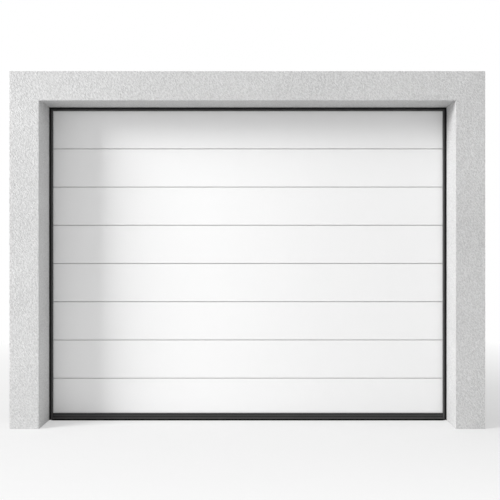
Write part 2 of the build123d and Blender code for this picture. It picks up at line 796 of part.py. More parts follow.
with BuildPart() as spring_bracket:
    with BuildSketch(Plane.YZ.offset(-bracket_sheet / 2)):
        with Locations((shaft_y, (shaft_z + wall_top) / 2)):
            Rectangle(spring_plate_width, wall_top - shaft_z)
        with Locations((shaft_y, shaft_z)):
            Circle(spring_plate_width / 2)
            Circle(shaft_hole, mode=Mode.SUBTRACT)
    extrude(amount=bracket_sheet)
    with BuildSketch(Plane.XY.offset(wall_top - bracket_sheet)):
        with Locations((0, shaft_y)):
            Rectangle(spring_foot_width, spring_foot_depth)
            with GridLocations(spring_foot_width / 2, spring_foot_depth - hanger_width, 2, 2):
                Circle(hanger_hole_diameter / 2, mode=Mode.SUBTRACT)
    extrude(amount=bracket_sheet)
    spring_bore = spring_diameter / 2 - spring_wire - cable_gap
    with BuildSketch(Plane.YZ):
        with Locations((shaft_y, shaft_z)):
            Circle(spring_bore)
            Circle(shaft_hole, mode=Mode.SUBTRACT)
    extrude(amount=spring_start + cone_insert, both=True)
save(spring_bracket.part, "spring_bracket")
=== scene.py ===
import json
import math

import bpy
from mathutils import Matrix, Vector, noise


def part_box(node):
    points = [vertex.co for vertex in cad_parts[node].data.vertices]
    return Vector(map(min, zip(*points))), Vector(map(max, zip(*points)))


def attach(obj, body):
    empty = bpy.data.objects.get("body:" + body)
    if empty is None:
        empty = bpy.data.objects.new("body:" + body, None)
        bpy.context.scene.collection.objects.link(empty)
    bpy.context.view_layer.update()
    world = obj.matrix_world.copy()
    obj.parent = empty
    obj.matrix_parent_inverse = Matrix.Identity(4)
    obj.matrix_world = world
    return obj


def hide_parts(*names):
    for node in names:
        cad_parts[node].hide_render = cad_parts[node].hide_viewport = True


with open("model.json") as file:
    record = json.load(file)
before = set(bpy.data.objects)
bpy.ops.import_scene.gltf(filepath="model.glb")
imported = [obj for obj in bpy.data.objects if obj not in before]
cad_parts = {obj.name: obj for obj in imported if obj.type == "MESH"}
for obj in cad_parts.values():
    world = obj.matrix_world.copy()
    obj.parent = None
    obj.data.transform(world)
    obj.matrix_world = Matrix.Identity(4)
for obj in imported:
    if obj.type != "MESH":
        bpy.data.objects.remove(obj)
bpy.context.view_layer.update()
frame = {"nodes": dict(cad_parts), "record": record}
print("frame loaded:", len(frame["nodes"]), "nodes")


def boxCorners(node):  # low and high corner of a node's box, in metres
    return [Vector(corner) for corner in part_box(node)]


def middle(node):
    low, high = boxCorners(node)
    return (low + high) / 2


# Small tools for materials

class NodeSheet:  # a material's node tree with short ways to add and join nodes
    def __init__(self, name):
        self.material = bpy.data.materials.new(name)
        self.material.use_nodes = True
        self.tree = self.material.node_tree
        self.tree.nodes.clear()
        self.output = self.add("ShaderNodeOutputMaterial")

    def add(self, kind, inputs=None, **settings):
        node = self.tree.nodes.new(kind)
        for name, value in settings.items():
            setattr(node, name, value)
        for name, value in (inputs or {}).items():
            self.feed(node, name, value)
        return node

    def feed(self, node, name, value):  # a value may be a socket to link or a plain number or colour
        socket = node.inputs[name]
        if isinstance(value, bpy.types.NodeSocket):
            self.tree.links.new(value, socket)
        else:
            socket.default_value = value

    def objectPlace(self, stretch=(1, 1, 1)):  # object coordinates in metres
        place = self.add("ShaderNodeTexCoord").outputs["Object"]
        if tuple(stretch) == (1, 1, 1):
            return place
        return self.add("ShaderNodeMapping", {"Vector": place, "Scale": stretch}).outputs["Vector"]

    def axes(self):  # object coordinates, one output for each axis
        return self.add("ShaderNodeSeparateXYZ", {"Vector": self.objectPlace()}).outputs

    def leaningPlace(self, turn, stretch):  # drawn out along a line that leans in the wall's face
        settings = {"Vector": self.objectPlace(), "Rotation": (0, turn, 0), "Scale": (stretch, 1, 1)}
        return self.add("ShaderNodeMapping", settings, vector_type="TEXTURE").outputs["Vector"]

    def noiseField(self, size, detail=2.0, roughness=0.5, stretch=(1, 1, 1), place=None):  # size in metres
        place = place or self.objectPlace(stretch)
        inputs = {"Vector": place, "Scale": 1 / size, "Detail": detail, "Roughness": roughness}
        return self.add("ShaderNodeTexNoise", inputs).outputs["Fac"]

    def cells(self, size, feature="F1", output="Distance"):
        inputs = {"Vector": self.objectPlace(), "Scale": 1 / size}
        return self.add("ShaderNodeTexVoronoi", inputs, feature=feature).outputs[output]

    def maths(self, operation, *values):
        node = self.add("ShaderNodeMath", operation=operation)
        for place, value in enumerate(values):
            self.feed(node, place, value)
        return node.outputs[0]

    def remap(self, value, low, high, newLow=0.0, newHigh=1.0):
        inputs = {"Value": value, "From Min": low, "From Max": high, "To Min": newLow, "To Max": newHigh}
        return self.add("ShaderNodeMapRange", inputs, clamp=True).outputs["Result"]

    def blendColour(self, factor, first, second):
        node = self.add("ShaderNodeMix", data_type="RGBA")
        self.feed(node, "Factor", factor)
        for name, value in (("A", first), ("B", second)):
            colourSockets = [s for s in node.inputs if s.name == name and s.type == "RGBA"]
            if isinstance(value, bpy.types.NodeSocket):
                self.tree.links.new(value, colourSockets[0])
            else:
                colourSockets[0].default_value = (*value, 1)
        return [s for s in node.outputs if s.type == "RGBA"][0]

    def bump(self, height, distance, strength, normal=None):
        inputs = {"Height": height, "Distance": distance, "Strength": strength}
        if normal is not None:
            inputs["Normal"] = normal
        return self.add("ShaderNodeBump", inputs).outputs["Normal"]

    def surface(self, **inputs):
        shader = self.add("ShaderNodeBsdfPrincipled")
        for name, value in inputs.items():
            if isinstance(value, tuple) and len(value) == 3:
                value = (*value, 1)
            self.feed(shader, name.replace("_", " "), value)
        self.tree.links.new(shader.outputs[0], self.output.inputs["Surface"])
        return self.material


def dress(nodeNames, material):  # a better material on CAD nodes that stay as they are
    for name in nodeNames:
        piece = frame["nodes"][name]
        for place in range(max(1, len(piece.material_slots))):
            if not piece.material_slots:
                piece.data.materials.append(material)
            piece.material_slots[place].link = "OBJECT"
            piece.material_slots[place].material = material


def addPiece(name, points, faces, material):  # a new smooth mesh piece on the one body
    mesh = bpy.data.meshes.new(name)
    mesh.from_pydata([tuple(p) for p in points], [], [tuple(f) for f in faces])
    mesh.materials.append(material)
    mesh.polygons.foreach_set("use_smooth", [True] * len(mesh.polygons))
    mesh.update()
    piece = bpy.data.objects.new(name, mesh)
    bpy.context.scene.collection.objects.link(piece)
    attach(piece, "root")
    return piece


def joinRings(faces, first, ringCount, sides):  # walls between rings and a cap at each end
    for n in range(ringCount - 1):
        for s in range(sides):
            after = (s + 1) % sides
            lower, upper = first + n * sides, first + (n + 1) * sides
            faces.append((lower + s, lower + after, upper + after, upper + s))
    faces.append(tuple(first + s for s in range(sides))[::-1])
    faces.append(tuple(first + (ringCount - 1) * sides + s for s in range(sides)))


def tubeAlong(places, radii, twists, side):  # rings along a list of places, each turned by its twist
    points, faces = [], []
    last, sides = len(places) - 1, len(radii)
    for n, place in enumerate(places):
        ahead = (places[min(n + 1, last)] - places[max(n - 1, 0)]).normalized()
        across = (side - ahead * side.dot(ahead)).normalized()
        up = ahead.cross(across)
        for s, radius in enumerate(radii):
            turn = 2 * math.pi * s / sides + twists[n]
            points.append(place + (across * math.cos(turn) + up * math.sin(turn)) * radius)
    joinRings(faces, 0, len(places), sides)
    return points, faces


# Masonry with a rough scraped render

renderCoat = {
    "cell": 0.005,  # metres between mesh points
    "grain": 0.0095,
    "grainDepth": 0.0034,
    "fineRate": 2.3,  # the finer grain is this many times smaller
    "fineShare": 0.35,
    "flatShare": 0.36,  # the tops of the grain are scraped flat
    "trowel": 0.16,
    "trowelDepth": 0.0006,
    "arris": 0.0005,  # how far an outer edge is worn back
    "revealShare": 0.5,  # the reveals and soffit are rubbed smoother than the face
    "revealLift": 0.14,  # and keep more of the coat, as a share of the grain's depth
    "innerShare": 0.2,  # the garage side is smoothest
    "lean": math.radians(53),  # the scraping float's strokes run down to the right
    "leanStretch": 1.9,
    "colour": (0.675, 0.675, 0.675),
    "stain": (0.635, 0.635, 0.635),
    "stainSize": 0.35,
    "pitShade": 0.24,
    "revealShade": 0.09,  # painted shade: the coat on the reveals and soffit is darkened as if in shade
    "strokeSize": 0.0064,
    "pitSize": 0.0065,
    "pitShare": 0.35,
    "bumpDepth": 0.0047,
    "sandSize": 0.0016,
    "sandDepth": 0.0004,
    "coatThickness": 0.014,  # seen at the cut ends, where the grey base plaster shows behind it
    "coatEdgeSize": 0.02,
    "coatEdgeDepth": 0.006,
    "basePlaster": (0.40, 0.395, 0.385),
    "baseStain": (0.33, 0.325, 0.315),
    "baseCloud": 0.12,
    "endSkin": 0.004,  # a point this near to a cut end or the top belongs to that face
    "backSkin": 0.0025,
    "revealSkin": 0.0015,
    "faceBlend": 0.0005,
}
soffitLevel = boxCorners("lintel")[0].z


def makeRenderCoat():
    sheet = NodeSheet("scrapedRender")
    low, high = boxCorners("right_pier")
    place = sheet.axes()
    fromMiddle = sheet.maths("ABSOLUTE", place["X"])
    isBase = 0.0
    for value, line in (
        (fromMiddle, high.x - renderCoat["endSkin"]),
        (place["Z"], high.z - renderCoat["endSkin"]),
        (place["Y"], high.y - renderCoat["backSkin"]),
    ):
        isBase = sheet.maths("MAXIMUM", isBase, sheet.remap(value, line - renderCoat["faceBlend"], line))
    torn = sheet.noiseField(renderCoat["coatEdgeSize"], detail=3.0)
    ragged = sheet.maths("MULTIPLY_ADD", torn, renderCoat["coatEdgeDepth"], place["Y"])
    edge = low.y + renderCoat["coatThickness"]
    isBase = sheet.maths("MULTIPLY", isBase, sheet.remap(ragged, edge + 0.002, edge + 0.003))

    stroke = sheet.leaningPlace(renderCoat["lean"], renderCoat["leanStretch"])
    coarse = sheet.noiseField(renderCoat["strokeSize"], roughness=0.55, place=stroke)
    pits = sheet.cells(renderCoat["pitSize"], feature="SMOOTH_F1")
    height = sheet.maths("MULTIPLY_ADD", pits, renderCoat["pitShare"], coarse)
    height = sheet.maths("MULTIPLY", height, sheet.remap(isBase, 0, 1, 1.0, 0.35))
    normal = sheet.bump(height, renderCoat["bumpDepth"], 0.9)
    sand = sheet.noiseField(renderCoat["sandSize"], detail=1.0)
    normal = sheet.bump(sand, renderCoat["sandDepth"], 0.5, normal)

    patches = sheet.remap(sheet.noiseField(renderCoat["stainSize"], detail=3.0), 0.35, 0.7)
    colour = sheet.blendColour(patches, renderCoat["colour"], renderCoat["stain"])
    pitColour = sheet.blendColour(renderCoat["pitShade"], colour, (0, 0, 0))
    colour = sheet.blendColour(sheet.remap(coarse, 0.35, 0.65), pitColour, colour)
    clouds = sheet.remap(sheet.noiseField(renderCoat["baseCloud"], detail=5.0, roughness=0.6), 0.35, 0.65)
    plaster = sheet.blendColour(clouds, renderCoat["basePlaster"], renderCoat["baseStain"])
    colour = sheet.blendColour(isBase, colour, plaster)

    # painted shade on the reveals and soffit inside the opening
    isReveal = sheet.maths("LESS_THAN", fromMiddle, low.x + renderCoat["revealSkin"])
    isUnder = sheet.maths("LESS_THAN", place["Z"], soffitLevel + renderCoat["revealSkin"])
    shade = sheet.maths("MULTIPLY", sheet.maths("MULTIPLY", isReveal, isUnder), renderCoat["revealShade"])
    colour = sheet.blendColour(shade, colour, (0, 0, 0))
    return sheet.surface(Base_Color=colour, Roughness=0.92, Specular_IOR_Level=0.25, Normal=normal)


def grainDepthAt(place):  # depth of the coat's relief, 0 or more, the same on every block
    turn = renderCoat["lean"]
    along = (place.x * math.cos(turn) - place.z * math.sin(turn)) / renderCoat["leanStretch"]
    across = place.x * math.sin(turn) + place.z * math.cos(turn)
    stroke = Vector((along, place.y, across)) / renderCoat["grain"]
    grain = noise.noise(stroke) * 0.5 + 0.5
    fine = noise.noise(stroke * renderCoat["fineRate"]) * 0.5 + 0.5
    trowel = noise.noise(place / renderCoat["trowel"]) * 0.5 + 0.5
    relief = grain * (1 - renderCoat["fineShare"]) + fine * renderCoat["fineShare"]
    pit = max(0, relief - renderCoat["flatShare"])
    return renderCoat["grainDepth"] * pit + renderCoat["trowelDepth"] * trowel


def roughBlock(name, node, material, isJoined, isReveal):
    low, high = boxCorners(node)
    size = high - low
    counts = [max(2, round(length / renderCoat["cell"])) for length in size]
    steps = [size[axis] / counts[axis] for axis in range(3)]
    numbers = {}
    points = []

    def pointNumber(i, j, k):
        key = (i, j, k)
        if key not in numbers:
            numbers[key] = len(points)
            place = Vector([low[a] + steps[a] * key[a] for a in range(3)])
            sides = [-1 if n == 0 else 1 if n == counts[a] else 0 for a, n in enumerate(key)]
            for axis in range(3):
                if isJoined(axis, sides[axis], place):
                    sides[axis] = 0  # a face that another block or the floor covers
            depth = grainDepthAt(place)
            isArris = sum(abs(side) for side in sides) > 1 and sides[1] < 1
            moved = place.copy()
            for axis, side in enumerate(sides):
                if isReveal(axis, side):
                    lift = renderCoat["revealLift"] * renderCoat["grainDepth"]
                    back = (depth - lift) * renderCoat["revealShare"]
                elif axis == 1 and side > 0:
                    back = depth * renderCoat["innerShare"]
                else:
                    back = depth
                moved[axis] -= side * (back + (renderCoat["arris"] if isArris else 0))
            points.append(moved)
        return numbers[key]

    faces = []
    for fixed in range(3):
        first, second = [(1, 2), (2, 0), (0, 1)][fixed]
        for end in (0, counts[fixed]):
            for m in range(counts[first]):
                for n in range(counts[second]):
                    corner = [0, 0, 0]
                    corner[fixed] = end
                    square = []
                    for dm, dn in ((0, 0), (1, 0), (1, 1), (0, 1)):
                        corner[first], corner[second] = m + dm, n + dn
                        square.append(pointNumber(*corner))
                    faces.append(square if end else square[::-1])
    piece = addPiece(name, points, faces, material)
    piece.data.set_sharp_from_angle(angle=math.radians(45))
    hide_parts(node)


def pierJoined(axis, side, place):
    meetsLintel = axis == 0 and side * place.x < 0 and place.z > soffitLevel - 0.0001
    return meetsLintel or (axis == 2 and side < 0)


def pierReveal(hand):
    return lambda axis, side: axis == 0 and side == -hand


scrapedRender = makeRenderCoat()
roughBlock("leftPier", "left_pier", scrapedRender, pierJoined, pierReveal(-1))
roughBlock("rightPier", "right_pier", scrapedRender, pierJoined, pierReveal(1))
roughBlock(
    "lintelBeam", "lintel", scrapedRender,
    lambda axis, side, place: axis == 0, lambda axis, side: axis == 2 and side < 0,
)
print("masonry rendered")


# White leaf sections

leafCoat = {
    "white": (0.85, 0.85, 0.85),
    "innerWhite": (0.79, 0.80, 0.785),
    "cloud": 0.012,  # how much the white varies over half a metre
    "cloudSize": 0.5,
    "grooveShade": 0.10,  # dust and painted shade in the grooves and joints
    # colour of the dust and painted shade in the grooves, joints and ribs
    "dustAndShade": (0.05, 0.05, 0.05),
    "gloss": 0.42,
    "wearSize": 0.08,
    "peelSize": 0.0035,
    "peelDepth": 0.00012,
    "stuccoSize": 0.006,
    "stuccoDepth": 0.0005,
    "innerBead": 0.0015,  # depth of the beads in the inner skin
    "ribCount": 8,  # fine ribs rolled into the inner skin of each section
    "ribHalfWidth": 0.0025,
    "ribDepth": 0.0012,
    # painted shade along the inner ribs
    "ribShade": 0.22,
    "halfJoint": 0.0025,  # half the gap between two sections
}
sectionNodes = ["bottom_section", "lower_middle_section", "upper_middle_section", "top_section"]
sectionLows = [boxCorners(name)[0].z for name in sectionNodes]
sectionHighs = sectionLows[1:] + [boxCorners("top_section")[1].z]
jointLevels = [low - leafCoat["halfJoint"] for low in sectionLows[1:]]
leafFront, leafBack = (corner.y for corner in boxCorners("bottom_section"))


def makeLeafCoat():
    sheet = NodeSheet("leafCoat")
    place = sheet.axes()
    depth, level = place["Y"], place["Z"]
    inner = leafBack - leafCoat["innerBead"]
    isInside = sheet.remap(depth, inner - 0.001, inner)
    isGroove = sheet.remap(depth, leafFront + 0.001, leafFront + 0.004)
    isGroove = sheet.maths("MULTIPLY", isGroove, sheet.remap(depth, 0.0, 0.001, 1.0, 0.0))
    peel = sheet.noiseField(leafCoat["peelSize"], detail=1.0)
    stucco = sheet.noiseField(leafCoat["stuccoSize"], detail=1.0, stretch=(1, 1, 2.2))
    stucco = sheet.maths("MULTIPLY", sheet.remap(stucco, 0.42, 0.58), isInside)
    ribPitch = (jointLevels[1] - jointLevels[0]) / leafCoat["ribCount"]
    level = sheet.maths("DIVIDE", sheet.maths("SUBTRACT", level, sectionLows[0]), ribPitch)
    toRib = sheet.maths("PINGPONG", level, 0.5)  # 0 on a rib's middle line
    half = leafCoat["ribHalfWidth"] / ribPitch
    isRib = sheet.maths("MULTIPLY", sheet.remap(toRib, half * 0.4, half, 1.0, 0.0), isInside)
    normal = sheet.bump(peel, leafCoat["peelDepth"], 0.35)
    normal = sheet.bump(stucco, leafCoat["stuccoDepth"], 0.5, normal)
    normal = sheet.bump(sheet.maths("SUBTRACT", 1.0, isRib), leafCoat["ribDepth"], 0.8, normal)
    colour = sheet.blendColour(isInside, leafCoat["white"], leafCoat["innerWhite"])
    cloud = sheet.noiseField(leafCoat["cloudSize"])
    cloud = sheet.remap(cloud, 0.3, 0.7, 0.0, leafCoat["cloud"])
    colour = sheet.blendColour(cloud, colour, (0.4, 0.4, 0.4))
    # painted shade in the grooves, joints and ribs, with some dust in the grooves
    dustAndShade = sheet.maths("MULTIPLY", isGroove, leafCoat["grooveShade"])
    dustAndShade = sheet.maths("MULTIPLY_ADD", isRib, leafCoat["ribShade"], dustAndShade)
    colour = sheet.blendColour(dustAndShade, colour, leafCoat["dustAndShade"])
    wear = sheet.noiseField(leafCoat["wearSize"], detail=3.0)
    rough = sheet.remap(wear, 0.3, 0.7, leafCoat["gloss"] - 0.05, leafCoat["gloss"] + 0.06)
    return sheet.surface(Base_Color=colour, Roughness=rough, Specular_IOR_Level=0.4, Normal=normal)


dress(sectionNodes, makeLeafCoat())
print("leaf painted")


# Dark border, bottom rail and rubber

borderLook = {
    "black": (0.005, 0.005, 0.005),
    "blackDust": (0.10, 0.10, 0.098),
    "rubber": (0.044, 0.044, 0.044),
    "footRubber": (0.003, 0.003, 0.003),
    "rail": (0.055, 0.055, 0.056),
    "railDust": (0.08, 0.08, 0.08),
    "railRecessShade": (0.020, 0.020, 0.020),  # painted shade in the recesses between the ribs
    "railToeHighlight": (0.13, 0.13, 0.13),  # painted highlight along the foot, where the toe catches light from above
    "recessDepth": 0.010,  # behind the toe's edge, where the ribs end and the recesses start
    "toeDepth": 0.006,
}


def makeBlackCoat():
    sheet = NodeSheet("blackCoat")
    normal = sheet.bump(sheet.noiseField(0.0012), 0.0001, 0.4)
    rough = sheet.remap(sheet.noiseField(0.05, detail=3.0), 0.3, 0.7, 0.42, 0.56)
    dustAndShade = sheet.remap(sheet.noiseField(0.2, detail=4.0), 0.5, 0.8, 0.0, 0.10)
    colour = sheet.blendColour(dustAndShade, borderLook["black"], borderLook["blackDust"])
    return sheet.surface(Base_Color=colour, Roughness=rough, Specular_IOR_Level=0.3, Normal=normal)


def makeRubber(name, tone, shine):
    sheet = NodeSheet(name)
    grain = sheet.noiseField(0.0009)
    flow = sheet.noiseField(0.012, stretch=(0.15, 1, 0.15))
    normal = sheet.bump(sheet.maths("MULTIPLY_ADD", grain, 0.3, flow), 0.00025, 0.3)
    bloom = sheet.remap(sheet.noiseField(0.09, detail=4.0), 0.4, 0.75, 0.0, 0.25)
    pale = tuple(min(1, part * 1.7 + 0.002) for part in tone)
    colour = sheet.blendColour(bloom, tone, pale)
    rough = sheet.remap(bloom, 0.0, 0.25, 0.55, 0.72)
    return sheet.surface(Base_Color=colour, Roughness=rough, Specular_IOR_Level=shine, Normal=normal)


def makeDarkRail():
    sheet = NodeSheet("darkRail")
    lines = sheet.noiseField(0.0014, stretch=(0.01, 1, 1))  # marks left by the extrusion die
    normal = sheet.bump(lines, 0.00012, 0.5)
    rough = sheet.remap(sheet.noiseField(0.03, detail=3.0, stretch=(0.05, 1, 1)), 0.3, 0.7, 0.36, 0.5)
    dustAndShade = sheet.remap(sheet.noiseField(0.15, detail=4.0), 0.45, 0.8, 0.0, 0.3)
    colour = sheet.blendColour(dustAndShade, borderLook["rail"], borderLook["railDust"])
    depth, front = sheet.axes()["Y"], boxCorners("bottom_rail")[0].y
    recess, toe = front + borderLook["recessDepth"], front + borderLook["toeDepth"]
    # painted shade in the recesses between the rail's ribs
    isRecess = sheet.remap(depth, recess - 0.0005, recess + 0.0005)
    isRecess = sheet.maths("MULTIPLY", isRecess, sheet.remap(depth, 0.0, 0.001, 1.0, 0.0))
    colour = sheet.blendColour(isRecess, colour, borderLook["railRecessShade"])
    # painted highlight on the toe, which faces the light from above
    isToe = sheet.remap(depth, toe - 0.0005, toe + 0.0005, 1.0, 0.0)
    colour = sheet.blendColour(isToe, colour, borderLook["railToeHighlight"])
    return sheet.surface(Base_Color=colour, Roughness=rough, Metallic=0.35, Normal=normal)


dress(["left_frame_post", "right_frame_post", "head_frame"], makeBlackCoat())
dress(["left_side_seal", "right_side_seal", "head_seal"], makeRubber("beadRubber", borderLook["rubber"], 0.3))
dress(["bottom_seal", "track_buffers"], makeRubber("footRubber", borderLook["footRubber"], 0.05))
dress(["bottom_rail"], makeDarkRail())
print("border and bottom edge done")


# Steel, alloy and nylon of the running gear

metalLook = {
    "zinc": (0.36, 0.37, 0.38),
    "zincDark": (0.20, 0.21, 0.22),
    "spangle": 0.014,
    "boltZinc": (0.42, 0.42, 0.41),
    "boltZincPale": (0.56, 0.56, 0.55),
    "cable": (0.40, 0.40, 0.40),
    "cableGrease": (0.16, 0.155, 0.15),
    "alloy": (0.50, 0.51, 0.52),
    "alloyDark": (0.42, 0.42, 0.425),
    "oiledWire": (0.055, 0.055, 0.06),
    "wornWire": (0.11, 0.10, 0.09),
    "nylon": (0.74, 0.73, 0.67),
    "nylonGrime": (0.35, 0.34, 0.31),
}


def makeGalvanised():
    sheet = NodeSheet("galvanisedSteel")
    flake = sheet.cells(metalLook["spangle"], output="Color")
    parts = sheet.add("ShaderNodeSeparateColor", {"Color": flake})
    shade = sheet.maths("MULTIPLY_ADD", parts.outputs["Red"], 0.7, sheet.noiseField(0.06, detail=3.0))
    colour = sheet.blendColour(sheet.remap(shade, 0.35, 1.2), metalLook["zincDark"], metalLook["zinc"])
    rough = sheet.remap(parts.outputs["Green"], 0, 1, 0.46, 0.62)
    scratches = sheet.noiseField(0.002, stretch=(0.3, 0.3, 0.06))
    normal = sheet.bump(sheet.maths("MULTIPLY_ADD", parts.outputs["Blue"], 0.35, scratches), 0.00012, 0.3)
    return sheet.surface(Base_Color=colour, Roughness=rough, Metallic=0.8, Normal=normal)


def makeBrightZinc():
    sheet = NodeSheet("brightZinc")
    skin = sheet.noiseField(0.004, detail=3.0)
    tone = sheet.blendColour(sheet.remap(skin, 0.3, 0.7), metalLook["boltZinc"], metalLook["boltZincPale"])
    rough = sheet.remap(skin, 0.3, 0.7, 0.28, 0.42)
    normal = sheet.bump(skin, 0.00005, 0.3)
    return sheet.surface(Base_Color=tone, Roughness=rough, Metallic=0.9, Normal=normal)


def makeCableSteel():
    sheet = NodeSheet("cableSteel")
    grease = sheet.remap(sheet.noiseField(0.01, detail=3.0), 0.4, 0.7)
    tone = sheet.blendColour(grease, metalLook["cable"], metalLook["cableGrease"])
    return sheet.surface(Base_Color=tone, Roughness=sheet.remap(grease, 0, 1, 0.42, 0.3), Metallic=0.85)


def makeCastAlloy():
    sheet = NodeSheet("castAlloy")
    skin = sheet.noiseField(0.0012, detail=3.0)
    normal = sheet.bump(skin, 0.0002, 0.5)
    tone = sheet.remap(sheet.noiseField(0.02, detail=3.0), 0.3, 0.7)
    colour = sheet.blendColour(tone, metalLook["alloy"], metalLook["alloyDark"])
    rough = sheet.remap(skin, 0.3, 0.7, 0.4, 0.58)
    return sheet.surface(Base_Color=colour, Roughness=rough, Metallic=0.85, Normal=normal)


def makeOiledWire():
    sheet = NodeSheet("oiledWire")
    skin = sheet.noiseField(0.003, detail=4.0)
    oil = sheet.remap(skin, 0.35, 0.65, 0.28, 0.5)
    colour = sheet.blendColour(sheet.remap(skin, 0.5, 0.8), metalLook["oiledWire"], metalLook["wornWire"])
    normal = sheet.bump(skin, 0.0001, 0.3)
    return sheet.surface(Base_Color=colour, Roughness=oil, Metallic=0.6, Normal=normal)


def makeNylon():
    sheet = NodeSheet("nylon")
    normal = sheet.bump(sheet.noiseField(0.0015), 0.0001, 0.3)
    grime = sheet.remap(sheet.noiseField(0.012, detail=3.0), 0.5, 0.8, 0.0, 0.35)
    colour = sheet.blendColour(grime, metalLook["nylon"], metalLook["nylonGrime"])
    return sheet.surface(Base_Color=colour, Roughness=0.45, Subsurface_Weight=0.08, Normal=normal)


galvanised = makeGalvanised()
brightZinc = makeBrightZinc()
cableSteel = makeCableSteel()
castAlloy = makeCastAlloy()
oiledWire = makeOiledWire()
steelNodes = [part["node"] for part in frame["record"]["subparts"] if part["material_slot"] == "galvanised"]
dress(steelNodes, galvanised)
dress(["roller_wheels", "cable_pulleys"], makeNylon())
dress(["cable_drums", "winding_cones"], castAlloy)
print("running gear dressed")


# Wound springs

springWind = {
    "wire": 0.003,  # half the wire's thickness
    "pitch": 0.0062,
    "turnSteps": 28,
    "wireSides": 8,
}


def woundSpring(name, node, hand):
    low, high = boxCorners(node)
    centre = middle(node)
    wire = springWind["wire"]
    radius = (high.z - low.z) / 2 - wire
    length = high.x - low.x - 2 * wire
    turns = length / springWind["pitch"]
    steps = int(turns * springWind["turnSteps"])
    places = []
    for n in range(steps + 1):
        angle = hand * 2 * math.pi * turns * n / steps
        x = low.x + wire + length * n / steps
        places.append(Vector((x, centre.y + radius * math.cos(angle), centre.z + radius * math.sin(angle))))
    radii, twists = [wire] * springWind["wireSides"], [0.0] * len(places)
    points, faces = tubeAlong(places, radii, twists, Vector((1, 0, 0)))
    piece = addPiece(name, points, faces, oiledWire)
    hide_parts(node)


woundSpring("rightWoundSpring", "right_torsion_spring", 1)
woundSpring("leftWoundSpring", "left_torsion_spring", -1)
print("springs wound")


# Stranded lift cables

cableLay = {
    "radius": 0.002,
    "strands": 6,
    "hollow": 0.80,  # radius between two strands, as a share of the cable's
    "lay": 0.028,  # length of one turn of a strand
    "step": 0.002,
    "drumRadius": 0.050,
    "pulleyRadius": 0.025,
    "pinRadius": 0.003,
}
cableLine = middle("right_lift_cable").x
drumCentre, pulleyCentre = middle("cable_drums"), middle("cable_pulleys")
cableLow = boxCorners("right_lift_cable")[0].z
cableFoot = Vector((cableLine, pulleyCentre.y - cableLay["pulleyRadius"], cableLow))


def arcPlaces(centre, radius, start, end, x, step):
    count = max(2, round(abs(end - start) * radius / step))
    turns = [start + (end - start) * n / count for n in range(count + 1)]
    return [Vector((x, centre.y + radius * math.cos(t), centre.z + radius * math.sin(t))) for t in turns]


def runPlaces(start, end, step):
    count = max(1, round((end - start).length / step))
    return [start.lerp(end, n / count) for n in range(1, count)]


def strandedCable(name, node, hand):
    x, step = hand * cableLine, cableLay["step"]
    drum = arcPlaces(drumCentre, cableLay["drumRadius"], -math.pi / 2, math.pi / 2, x, step)
    pulley = arcPlaces(pulleyCentre, cableLay["pulleyRadius"], math.pi / 2, math.pi, x, step)
    foot = Vector((x, cableFoot.y, cableFoot.z))
    places = drum + runPlaces(drum[-1], pulley[0], step) + pulley + runPlaces(pulley[-1], foot, step) + [foot]
    twists = [0.0]
    for before, place in zip(places, places[1:]):
        twists.append(twists[-1] + 2 * math.pi * (place - before).length / cableLay["lay"])
    radii = [cableLay["radius"], cableLay["radius"] * cableLay["hollow"]] * cableLay["strands"]
    points, faces = tubeAlong(places, radii, twists, Vector((1, 0, 0)))
    piece = addPiece(name, points, faces, cableSteel)
    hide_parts(node)


strandedCable("rightStrandedCable", "right_lift_cable", 1)
strandedCable("leftStrandedCable", "left_lift_cable", -1)
print("lift cables laid")


# Screws, bolts, nuts and rivets, each set joined in one piece

fixings = {
    "sides": 24,
    "sink": 0.0002,  # how far a head goes into what it holds
    "roundOff": 0.9,
    "neckSink": 0.0012,
    "turnStep": 2.399,  # each head of a set is left at its own turn
}


def cornered(corners, turn):  # distance to the rim of a regular shape with its corners at radius 1
    if not corners:
        return 1.0
    part = 2 * math.pi / corners
    return math.cos(part / 2) / math.cos(turn % part - part / 2)


def hexHead(washer, washerHeight, corner, height):
    ease = fixings["roundOff"]
    rings = [(washer, -fixings["sink"], 0), (washer, washerHeight * 0.6, 0), (washer * ease, washerHeight, 0)]
    return rings + [(corner, washerHeight, 6), (corner, height * ease, 6), (corner * ease, height, 0)]


def nutAndThread(washer, washerHeight, corner, height, thread, threadHeight):
    ease = fixings["roundOff"]
    nut = hexHead(washer, washerHeight, corner, height)
    return nut + [(thread, height, 0), (thread, threadHeight - 0.0006, 0), (thread * ease, threadHeight, 0)]


def domeHead(radius, height):
    rings = [(radius, -fixings["sink"], 0), (radius, height * 0.2, 0)]
    return rings + [(radius * math.cos(t), height * (0.2 + 0.8 * math.sin(t)), 0) for t in (0.5, 1.0, 1.35)]


def squareHead(neck, corner, height):
    ease = fixings["roundOff"]
    start = height * 0.25
    head = [(corner, start, 4), (corner, height * ease, 4), (corner * ease, height, 4)]
    return [(neck, -fixings["neckSink"], 0), (neck, start, 0)] + head


def flatWasher(radius, height):
    return [(radius, -fixings["sink"], 0), (radius, height * 0.8, 0), (radius * 0.96, height, 0)]


def fixingSet(name, rings, places, material):
    sides = fixings["sides"]
    points, faces = [], []
    for number, (place, outward) in enumerate(places):
        spin = Vector((0, 0, 1)).rotation_difference(Vector(outward))
        lean = fixings["turnStep"] * number
        first = len(points)
        for radius, height, corners in rings:
            for s in range(sides):
                turn = 2 * math.pi * s / sides
                reach = radius * cornered(corners, turn)
                local = Vector((reach * math.cos(turn + lean), reach * math.sin(turn + lean), height))
                points.append(Vector(place) + spin @ local)
        joinRings(faces, first, len(rings), sides)
    piece = addPiece(name, points, faces, material)
    piece.data.set_sharp_from_angle(angle=math.radians(30))


def bothHands(places):  # the same places on the other side of the doorway too
    mirrored = [((-p[0], p[1], p[2]), (-o[0], o[1], o[2])) for p, o in places]
    return places + mirrored


